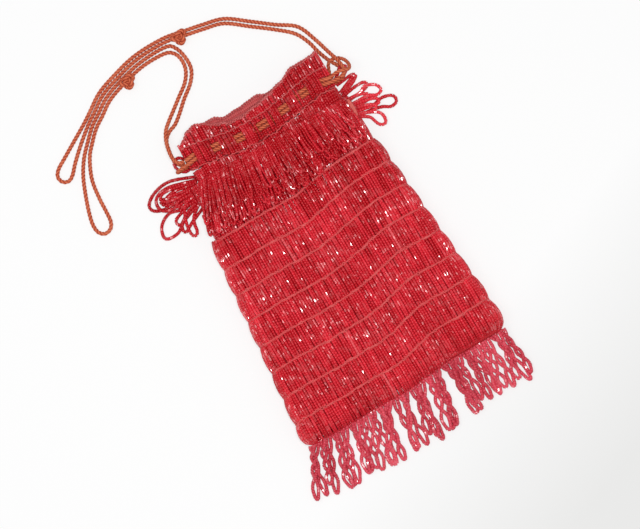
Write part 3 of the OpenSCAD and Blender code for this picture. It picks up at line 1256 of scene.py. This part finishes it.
@dataclass
class Drawstring:
    """One drawstring: a free loop with its knot, its runs in the channel and its bight."""

    side: Side
    route: tuple[Point, ...]
    knot_at: Point
    bight: tuple[Point, ...]
    slack_from: float
    slack_to: float
    d: float = 1.6
    plies: int = 3
    groove: float = 0.2
    turn: float = 4.6
    sides: int = 12
    step: float = 0.42
    lowest: float = 0.57
    pull: Point = (-0.5, 0.866, 0.0)
    fixed: float = 12.0

    def __post_init__(self) -> None:
        """Read the drawstring's height in the channel from its run."""
        self.word = self.side.name.lower()
        self.run = Span.of(f"{self.word}_cord_front_run")

    def twist(
        self, path: Sequence[Vector], name: str, node: str, share: float = 1.0, closed: bool = False
    ) -> bpy.types.Object:
        """Twist a piece of this drawstring along a path.

        Args:
            path: Evenly spaced points.
            name: The piece's name, without the side.
            node: The node that it stands for, without the side.
            share: Its thickness, compared with the cord's.
            closed: Whether the path ends where it starts.

        Returns:
            The piece.
        """
        twist = Twist(self.d * share, self.turn, self.plies, self.groove, self.sides)
        bm = twist.rope(path, closed)
        return publish(bm, f"{self.word}_{name}", ORANGE_CORD, f"{self.word}_cord_{node}")

    def free_loop(self) -> None:
        path = curve_through(self.route, self.step)
        for p in path:
            p.z = max(p.z, self.lowest * self.d)
        piece = self.twist(path, "free_cord", "loop", share=1.1)
        along = Vector(self.pull)
        along * self.slack_from * MM
        along * self.slack_to * MM
        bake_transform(piece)
        knot = self.knot()
        length = sum((b - a).length for a, b in zip(path, path[1:]))
        LOG.info("%s drawstring: %.1f mm free", self.word, length)
        path[0] * MM
        self.d * MM
        [p * MM for p in path]

    def knot(self) -> bpy.types.Object:
        """Tie the knot that joins the two ends.

        Returns:
            The knot as one piece.
        """
        points = []
        for k in range(30):
            t = math.tau * k / 30
            across = math.sin(t) + 2 * math.sin(2 * t)
            along = math.cos(t) - 2 * math.cos(2 * t)
            at = Vector((across * 1.02, along * 0.86, -math.sin(3 * t) * 0.9 + 0.6))
            points.append(Vector(self.knot_at) + at)
        path = curve_through(points, 0.4, closed=True)
        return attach(self.twist(path, "knot", "knot", share=1.25, closed=True), "drawcords")

    def channel_runs(self) -> None:
        """Lay the runs under the posts, each in two halves, one towards the exit and one towards the
        bight.
        """
        middle = self.run.middle
        ends = {"exit": self.run.low.x, "bight": self.run.high.x}
        if self.side is Side.RIGHT:
            ends = {"exit": self.run.high.x, "bight": self.run.low.x}
        for face in Face:
            word = face.name.lower()
            z = body_level() + face.value * (middle.z - body_level())
            for half, end in ends.items():
                points = []
                for share in shares(25):
                    x = middle.x + (end - middle.x) * share
                    lift = 0.3 * face.value * ease(0.0, 4.0, abs(x - end))
                    points.append((x, middle.y + follow(CHANNEL_SAG, x), z + lift))
                path = curve_through(points, self.step)
                piece = self.twist(path, f"{word}_run_to_{half}", f"{word}_run", share=1.12)
                if face is Face.FRONT and half == "exit":
                    inward = end - self.side.value * self.fixed
                    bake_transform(piece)
                else:
                    body = "front_lip" if face is Face.FRONT else "pouch"
                    settle(piece, body, LIP_KEEP if half == "bight" else None)

    def bight_turn(self) -> None:
        """Lay the bight that turns from the front run to the back one."""
        piece = self.twist(curve_through(self.bight, self.step), "bight_turn", "bight")
        settle(piece, "pouch", LIP_KEEP)


def on_table(*spots: tuple[float, float]) -> tuple[Point, ...]:
    """Put the points of a cord's route on the table."""
    return tuple((x, y, TABLE_LEVEL) for x, y in spots)


LEFT_ROUTE: tuple[Point, ...] = (
    (-32, 68.1, 10.2), (-33.3, 68.3, 10.0), (-34.6, 69.2, 9.5), (-35.3, 71, 8.7), (-35.2, 74.6, 7),
    (-34.2, 79, 4.8), (-32.2, 83, 3), (-29.2, 86, 1.5), (-25.8, 88.7, 0.9),
    *on_table(
        (-20.8, 92.6), (-15.9, 96.4), (-13, 100.6), (-12.3, 105), (-13.6, 108.8), (-17.4, 110.8),
        (-27.8, 110.6), (-39.1, 107.7), (-45.6, 105.2), (-51.1, 101.4), (-55.8, 98.2), (-59.8, 94.2),
        (-63.8, 89.4), (-67.4, 81.4), (-68.6, 73.6), (-68.9, 67.6), (-69.3, 62.9), (-70.9, 60.3),
        (-73.7, 59.7), (-75.8, 61.6), (-76.2, 65), (-75.2, 69.8), (-72.8, 77), (-69.8, 84.2), (-66, 90.2),
        (-61.4, 95.2), (-56.9, 99.6), (-52.1, 102.9), (-46.5, 106.7), (-39.7, 109.4), (-28, 112.4),
        (-15.6, 112.9), (-12, 110.4), (-10.5, 105), (-10.9, 99.8), (-14, 95.2), (-19.3, 90.9),
        (-24, 86.6), (-27.6, 83.8), (-31, 82.4), (-33.8, 79.8), (-35, 75.4),
    ),
    (-35.3, 72, 0.9), (-34.8, 69.7, 1.1), (-33.5, 68.4, 1.5), (-32, 68.1, 1.7),
)
RIGHT_ROUTE: tuple[Point, ...] = (
    (38.75, 66.3, 10.25), (39.9, 66.5, 10.15), (41.2, 67.4, 9.7), (41.9, 69.2, 8.8), (41.6, 73, 6.6),
    (40.2, 78.4, 3.6),
    *on_table(
        (38.3, 85.4), (34.8, 93.4), (27.5, 98.6), (19.6, 104.6), (10.8, 111), (2, 113.3), (-5.2, 114.7),
        (-15, 116.4), (-28.4, 115.9), (-40.9, 112.6), (-48.1, 109.8), (-54.1, 105.7), (-59, 102.4),
        (-66, 98.2), (-73, 94), (-77, 91.5), (-78.8, 89), (-78.2, 86.4), (-75.9, 85.3), (-73.4, 86.6),
        (-69.9, 90.4), (-64.4, 95.6), (-57.9, 101), (-53.1, 104.3), (-47.3, 108.3), (-40.3, 111),
        (-28.2, 114.2), (-15, 114.7), (-5.3, 112.9), (1.8, 111.5), (9.8, 109.4), (18.4, 103), (26.3, 97),
        (32.4, 91.6), (35.4, 86), (36.8, 80.8), (38.6, 76),
    ),
    (40.9, 71.8, 0.9), (41.7, 69.4, 1.05), (41.3, 67.6, 1.35), (40.1, 66.5, 1.65), (38.75, 66.3, 1.75),
)
LEFT_BIGHT: tuple[Point, ...] = (
    (35.9, 68.1, 10.3), (38, 68.6, 11.3), (40.8, 68.2, 11.6), (43.4, 67.6, 10.2), (44.6, 69.4, 7.4),
    (44, 72.4, 4.6), (41.6, 74.6, 2.9), (38.2, 74.4, 2.6), (36.5, 71, 2), (35.9, 68.1, 1.75),
)
RIGHT_BIGHT: tuple[Point, ...] = (
    (-31.5, 66.3, 10.25), (-33.6, 66.2, 10.2), (-35.6, 66, 9), (-36.4, 66, 6.4),
    (-35.6, 66, 3.6), (-33.6, 66.2, 2.1), (-31.5, 66.3, 1.75),
)


@dataclass
class NeckFringe:
    """The fringe of long bead loops that hangs from the neck."""

    pitch: float = 2.0
    back_pitch: float = 2.4
    left_flare: float = 1.2
    right_flare: float = 1.08
    edge_drop: float = 3.0
    root_z: float = 11.15
    layer_rise: float = 0.45
    layer_short: tuple[float, ...] = (0.0, 1.4, 5.0)
    tips: Marks = (
        (-40.0, 38.5), (-35.0, 34.6), (-19.0, 34.0), (4.0, 34.4), (9.0, 34.0), (16.0, 36.2),
        (29.0, 38.2), (38.0, 38.8),
    )

    def loop(self, work: BeadWork, root: Vector, foot: Vector, rise: float, gap: float) -> None:
        """Thread one hanging loop, whose two legs wander apart.

        Args:
            work: The beads that it joins.
            root: Where it leaves the thread.
            foot: Its lowest point.
            rise: Height of its foot above the root.
            gap: Distance between its two legs.
        """
        pick = work.random
        legs = []
        for side in (-1.0, 1.0):
            bow = pick.gauss(0.0, 0.3)
            wave = pick.uniform(0.0, 0.28)
            phase = pick.uniform(0.0, math.tau)
            leg = []
            for n in range(10):
                t = n / 10
                at = root.lerp(foot, t)
                at.x += side * gap / 2 * (1 + 0.35 * t * t)
                at.x += bow * math.sin(math.pi * t) + wave * ease(0.0, 0.3, t) * math.sin(9.0 * t + phase)
                at.z = root.z + rise * ease(0.0, 1.0, t) + 0.15 * (1 + math.sin(7.0 * t + phase))
                leg.append(at)
            legs.append(leg)
        tip = (foot.x, foot.y, root.z + rise)
        work.string(curve_through([*legs[0], tip, *reversed(legs[1])], 0.4), UP, glitter=0.75)

    def front(self) -> None:
        """Hang three layers of loops over the front."""
        span = Span.of("skirt_front")
        work = BeadWork(seed=300, d=1.0)
        pick = work.random
        middle = neck_middle()
        count = round(span.size.x / self.pitch)
        for layer, extra in enumerate(self.layer_short):
            for k in range(count):
                x = span.low.x + 0.9 + (k + 0.33 * layer) * (span.size.x - 1.8) / count
                reach = (x - middle) / (span.size.x / 2)
                flare = self.left_flare if reach < 0 else self.right_flare
                foot_x = middle + (x - middle) * flare + pick.gauss(0.0, 0.6)
                short = pick.uniform(0.0, 2.2) + extra + 3.0 * pick.random() * (layer == 2)
                foot = Vector((foot_x, follow(self.tips, foot_x) + short, 0.0))
                level = self.root_z + self.layer_rise * layer + pick.uniform(-0.2, 0.2)
                root = Vector((x, span.high.y - 0.4, level))
                rise = 0.45 + 0.4 * layer - self.edge_drop * ease(0.84, 1.0, abs(reach))
                self.loop(work, root, foot, rise, pick.uniform(0.95, 1.45))
        settle(work.publish("front_neck_fringe", "skirt_front"), "skirt", NECK_KEEP)

    def back(self) -> None:
        """Hang one layer of loops on the back."""
        span = Span.of("skirt_back")
        work = BeadWork(seed=301)
        count = round(span.size.x / self.back_pitch)
        for k in range(count):
            x = span.low.x + 1.2 + k * (span.size.x - 2.4) / (count - 1)
            foot = Vector((x, span.low.y + work.random.uniform(0.0, 2.5), 0.0))
            root = Vector((x, span.high.y - 0.4, span.middle.z + 0.04))
            self.loop(work, root, foot, 0.0, 1.1)
        settle(work.publish("back_neck_fringe", "skirt_back"), "pouch", NECK_KEEP)


@dataclass
class SideLoops:
    """Loops of the neck fringe that stick out at one side and lie on the table."""

    side: Side
    loops: tuple[Marks, ...]
    bead_d: float = 1.46
    root_z: float = 1.0
    rest_z: float = 0.79
    stack: float = 1.2

    def build(self) -> None:
        """Thread the loops, every second one lying on its neighbours."""
        word = self.side.name.lower()
        work = BeadWork(seed=320 + self.side.value, d=self.bead_d)
        for k, loop in enumerate(self.loops):
            rise = self.rest_z + self.stack * (k % 2) - self.root_z
            points = []
            for n, (x, y) in enumerate(loop):
                way = math.sin(math.pi * n / (len(loop) - 1))
                points.append((x, y, self.root_z + rise * ease(0.0, 0.7, way)))
            tint = work.random.uniform(0.3, 0.8) + 0.45 * (self.side is Side.RIGHT)
            work.string(curve_through(points, 0.4), UP, tint, 0.6)
        settle(work.publish(f"{word}_side_loops", f"side_loops_{word}"), "pouch", NECK_KEEP)


LEFT_LOOPS: tuple[Marks, ...] = (
    ((-31.0, 61.5), (-41, 65), (-48.4, 64), (-52.9, 60.7), (-52, 57.6), (-46.3, 56.1), (-32, 57)),
    ((-31.5, 60.2), (-43, 63.1), (-49.1, 61.4), (-49.7, 56.6), (-44.9, 54.6), (-32.5, 55.5)),
    ((-32.5, 54.5), (-41.9, 52.8), (-47.5, 53.9), (-52.6, 50.9), (-53.8, 45.7), (-48.1, 45.3), (-43, 49),
     (-33, 51.6)),
    ((-33, 55.5), (-40.2, 53.5), (-43.4, 47), (-43.7, 41.3), (-41.4, 41.5), (-39.9, 47.3), (-33.4, 52.6)),
    ((-31.6, 59), (-42, 60.6), (-46.6, 58.6), (-44, 56.8), (-32.6, 57.6)),
    ((-33, 53), (-41, 50.4), (-45.6, 46.6), (-45.4, 43.8), (-41.4, 46), (-33.6, 49.5)),
    ((-32, 58), (-40, 59), (-44.6, 59.8), (-43.4, 57.4), (-38, 55.6), (-32, 56)),
    ((-32, 55), (-39, 56.4), (-43.6, 55.4), (-41, 53.2), (-33, 53)),
    ((-32.4, 56.5), (-42, 58.2), (-47.6, 60.2), (-47.2, 57.4), (-41, 55), (-33, 54)),
    ((-32, 59.6), (-40, 61.6), (-46, 62), (-47.6, 59.4), (-42.6, 57.6), (-32, 58)),
    ((-32.6, 54.2), (-41, 52.2), (-46.4, 50.2), (-46, 47.6), (-41, 49.4), (-33.2, 52)),
    ((-31, 65.4), (-33.4, 65), (-35.9, 67.6), (-35.6, 70.7), (-33.2, 71.4), (-31.4, 69.8)),
)
RIGHT_LOOPS: tuple[Marks, ...] = (
    ((33.4, 60.5), (40.5, 63.6), (44.9, 65.2), (43.6, 63.4), (34.4, 59.4)),
    ((35, 58), (43.3, 57.8), (45.7, 59.2), (49.9, 57.6), (51.1, 54.6), (48.4, 53.6), (44.9, 55.2),
     (35.4, 55.4)),
    ((35.8, 53), (44.6, 50.9), (49.5, 51.8), (53.9, 50.4), (54.2, 47.6), (51.1, 46.8), (47.1, 48.8),
     (36, 50.6)),
    ((35.6, 51), (41.4, 47.5), (42.3, 45.6), (43.5, 42.7), (46, 42), (46.6, 45.4), (44.4, 48.1),
     (35.8, 52)),
    ((34.4, 59.4), (43, 61), (47, 60.6), (46, 58.4), (35, 57)),
    ((35.4, 55.6), (44, 53.8), (47.6, 52.6), (47, 50.4), (36, 52.4)),
    ((35, 57), (41, 57.6), (45.6, 56), (44.6, 53.8), (36, 54)),
    ((35.6, 53.6), (42, 52.4), (46, 50.4), (44.4, 48.8), (36, 51)),
    ((36.4, 65), (39.2, 65.4), (44.5, 65.8), (44.3, 64), (39.1, 62), (35.6, 62)),
    ((36.4, 67), (38.6, 68.4), (41.6, 71), (43.6, 69.4), (41.4, 67.4), (36.4, 65.6)),
)


@dataclass
class BottomFringe:
    """The bottom fringe: twisted pairs of bead strings in six clumps, open at their ends."""

    groups: int = 6
    strands: int = 6
    strand_pitch: float = 2.52
    length: float = 24.0
    bead_d: float = 1.5
    root_z: float = 3.8
    bend: float = 5.0
    nest: float = 0.85
    touch: float = 0.85
    steps: int = 40
    fan: Marks = (
        (-46.0, -20.0), (-40.0, -24.0), (-34.0, -19.0), (-20.0, -13.0), (0.0, -10.0), (13.0, -9.0),
        (16.5, 4.0), (20.0, -2.0), (46.0, 5.0),
    )
    spreads: tuple[Marks, ...] = (
        ((0.0, 0.72), (0.14, 0.85), (0.41, -0.95), (0.76, 1.25), (0.96, 0.72), (1.0, 0.0)),
        ((0.0, 0.72), (0.05, 0.72), (0.25, -0.88), (0.5, 0.98), (0.82, -1.2), (0.97, -0.72), (1.0, 0.0)),
    )

    def build(self) -> None:
        """Build all the clumps, from the left."""
        for number in range(1, self.groups + 1):
            self.clump(number)

    def clump(self, number: int) -> None:
        """Thread the strands of one clump.

        Args:
            number: The clump, counted from the left.
        """
        node = f"fringe_{number}"
        work = BeadWork(seed=400 + number, d=self.bead_d, glass=ROSE_GLASS)
        pick = work.random
        middle = Span.of(node).middle.x
        for k in range(self.strands):
            x = middle + (k - (self.strands - 1) / 2) * self.strand_pitch
            stray = 3.4 + 4.0 * ease(-20.0, -34.0, x) - 4.0 * ease(-37.0, -41.0, x)
            lean = math.radians(follow(self.fan, x) + pick.gauss(0.0, stray))
            length = self.length + pick.uniform(-4.4, 0.8) - 2.4 * ease(-30.0, -42.0, x)
            root = Vector((x, seam_line(x) + 0.2, self.root_z + 0.1))
            self.strand(work, root, lean, length, (k + number) % 2)
        piece = work.publish(f"bottom_fringe_{number}", node)
        root = Vector((middle, seam_line(middle), self.root_z)) * MM
        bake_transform(piece)

    def strand(self, work: BeadWork, root: Vector, lean: float, length: float, kind: int) -> None:
        """Thread one strand: two strings that cross and part in flat eyes, joined at the tip.

        Args:
            work: The beads that it joins.
            root: Where it leaves the seam.
            lean: Its angle to the purse's length.
            length: Its length.
            kind: Which of the two layouts it has, so that neighbours nest.
        """
        pick = work.random
        ahead = Vector((math.sin(lean), -math.cos(lean), 0.0))
        across = Vector((-ahead.y, ahead.x, 0.0))
        bow = pick.gauss(0.0, 0.8)
        sway = pick.gauss(0.0, 0.45)
        eye = pick.uniform(0.75, 1.35)
        slip = pick.uniform(-0.07, 0.07)
        rest = self.bead_d / 2 + 0.08
        strings: tuple[list[Vector], list[Vector]] = ([], [])
        over = 1.0
        last = 1.0
        for n in range(self.steps):
            t = n / self.steps
            spread = follow(self.spreads[kind], t + slip * math.sin(math.pi * t))
            spread *= eye if t > 0.2 else 1.0
            if spread * last < 0:
                over = -over
            last = spread
            pile = self.bead_d * 0.48 * max(0.0, 1 - (spread / self.touch) ** 2)
            level = root.z + (rest + self.nest * kind * ease(0.2, 0.5, t) - root.z) * ease(0.0, 0.4, t)
            swing = bow * math.sin(math.pi * t) + sway * math.sin(math.tau * t)
            at = root + ahead * (length * t) + across * swing
            for string, sign in zip(strings, (1.0, -1.0)):
                point = at + sign * spread * across
                point.z = level + pile + pile * sign * over
                string.append(point)
        tip = root + ahead * length
        tip.z = rest + self.nest * kind
        path = curve_through([*strings[0], tip, *reversed(strings[1])], 0.35)
        work.string(path, UP, pick.uniform(0.5, 1.15), 0.7)


@dataclass
class Studio:
    """Floor, light and camera."""

    aim: Point = (-5.4, 5.9, 2.0)
    azimuth: float = -30.0
    elevation: float = 86.0
    distance: float = 1500.0
    frame_w: float = 256.0
    sensor: float = 36.0
    world_strength: float = 0.48
    table_glow: float = 0.7

    def stand(self, thing: bpy.types.ID, at: Vector, back: Vector, right: Vector) -> bpy.types.Object:
        """Set up a camera or a lamp that looks along the opposite of back.

        Args:
            thing: The camera or the lamp.
            at: Its place in metres.
            back: Direction away from what it looks at.
            right: Direction to its right.

        Returns:
            Its object.
        """
        basis = Matrix((right, back.cross(right), back)).transposed().to_4x4()
        item = bpy.data.objects.new(thing.name, thing)
        item.matrix_world = Matrix.Translation(at) @ basis
        bpy.context.scene.collection.objects.link(item)
        return item

    def set_camera(self) -> None:
        """Put the camera at the photograph's angle."""
        turn = math.radians(self.azimuth)
        lift = math.radians(self.elevation)
        right = Vector((math.cos(turn), math.sin(turn), 0.0))
        back = Vector((math.sin(turn), -math.cos(turn), 0.0)) * math.cos(lift) + UP * math.sin(lift)
        lens = bpy.data.cameras.new("camera")
        lens.sensor_width = self.sensor
        lens.lens = self.sensor * self.distance / self.frame_w
        lens.clip_start = 0.01
        at = (Vector(self.aim) + back * self.distance) * MM
        bpy.context.scene.camera = self.stand(lens, at, back, right)

    def lamp(self, name: str, at: Point, size: float, watts: float) -> None:
        """Hang a square lamp that faces the purse.

        Args:
            name: The lamp's name.
            at: Its place in metres.
            size: Its side in metres.
            watts: Its power.
        """
        light = bpy.data.lights.new(name, "AREA")
        light.size = size
        light.energy = watts
        back = Vector(at).normalized()
        right = Vector((0.0, 1.0, 0.0)).cross(back).normalized()
        self.stand(light, Vector(at), back, right)

    def light(self) -> None:
        """Light the purse softly, with one small lamp for the beads' glints."""
        self.lamp("soft_lamp", (-0.25, 0.1, 0.85), 0.5, 1.9)
        self.lamp("small_lamp", (0.02, -0.04, 0.82), 0.09, 2.3)
        world = bpy.data.worlds.new("studio")
        world.use_nodes = True
        sky = world.node_tree.nodes["Background"].inputs
        sky["Color"].default_value = (1.0, 1.0, 1.0, 1.0)
        sky["Strength"].default_value = self.world_strength
        bpy.context.scene.world = world
        bpy.context.scene.view_settings.view_transform = "Standard"

    def floor(self) -> None:
        """Lay a white table top that keeps a soft shadow, with painted shade greying its glow a little
        towards one corner.
        """
        bm = bmesh.new()
        bmesh.ops.create_grid(bm, x_segments=1, y_segments=1, size=1.5)
        bmesh.ops.translate(bm, vec=(0.0, 0.0, -0.00002), verts=bm.verts)
        mesh = bpy.data.meshes.new("table_top")
        bm.to_mesh(mesh)
        bm.free()
        desk = Desk("white_table")
        matt = desk.add("ShaderNodeBsdfDiffuse", {}, {"Color": (0.93, 0.93, 0.93, 1.0)})
        across, along = desk.axes()
        # Painted shade: the table's glow greys towards one corner.
        shade = ((across * 0.35 - along * 0.94) * 12.5 - 0.72).held()
        tone = desk.mix(shade, (1.0, 1.0, 1.0, 1.0), (0.78, 0.78, 0.77, 1.0))
        glow = desk.add("ShaderNodeEmission", {}, {"Color": tone, "Strength": 1.0})
        ray = desk.add("ShaderNodeLightPath", {}, {}, "Is Camera Ray")
        seen = (ray + ray.beside("Is Glossy Ray") + ray.beside("Is Transmission Ray")).held()
        desk.surface(desk.add("ShaderNodeMixShader", {}, {0: seen * self.table_glow, 1: matt, 2: glow}))
        mesh.materials.append(desk.material)
        table = bpy.data.objects.new("table_top", mesh)
        bpy.context.scene.collection.objects.link(table)


def main() -> None:
    """Build the purse from its drawstrings inwards and report each piece."""
    logging.basicConfig(level=logging.INFO, format="%(message)s")
    studio = Studio()
    studio.set_camera()
    for drawstring in (
        Drawstring(Side.LEFT, LEFT_ROUTE, (-35.6, 108.2, 2.2), LEFT_BIGHT, 76.0, 88.0),
        Drawstring(Side.RIGHT, RIGHT_ROUTE, (-8.7, 113.4, 2.2), RIGHT_BIGHT, 40.0, 60.0),
    ):
        drawstring.free_loop()
        drawstring.channel_runs()
        drawstring.bight_turn()
    KnitPouch().build()
    for number in range(1, ROWS + 1):
        BeadRow(number).build()
    WornPatch().build()
    lines = ThreadLines()
    lines.groove_lines()
    lines.bottom_seam()
    lines.neck_thread()
    NeckRing().build()
    for face in Face:
        Lip(face).build()
    fringe = NeckFringe()
    fringe.front()
    fringe.back()
    SideLoops(Side.LEFT, LEFT_LOOPS).build()
    SideLoops(Side.RIGHT, RIGHT_LOOPS).build()
    BottomFringe().build()
    studio.floor()
    studio.light()


if __name__ == "__main__":
    main()
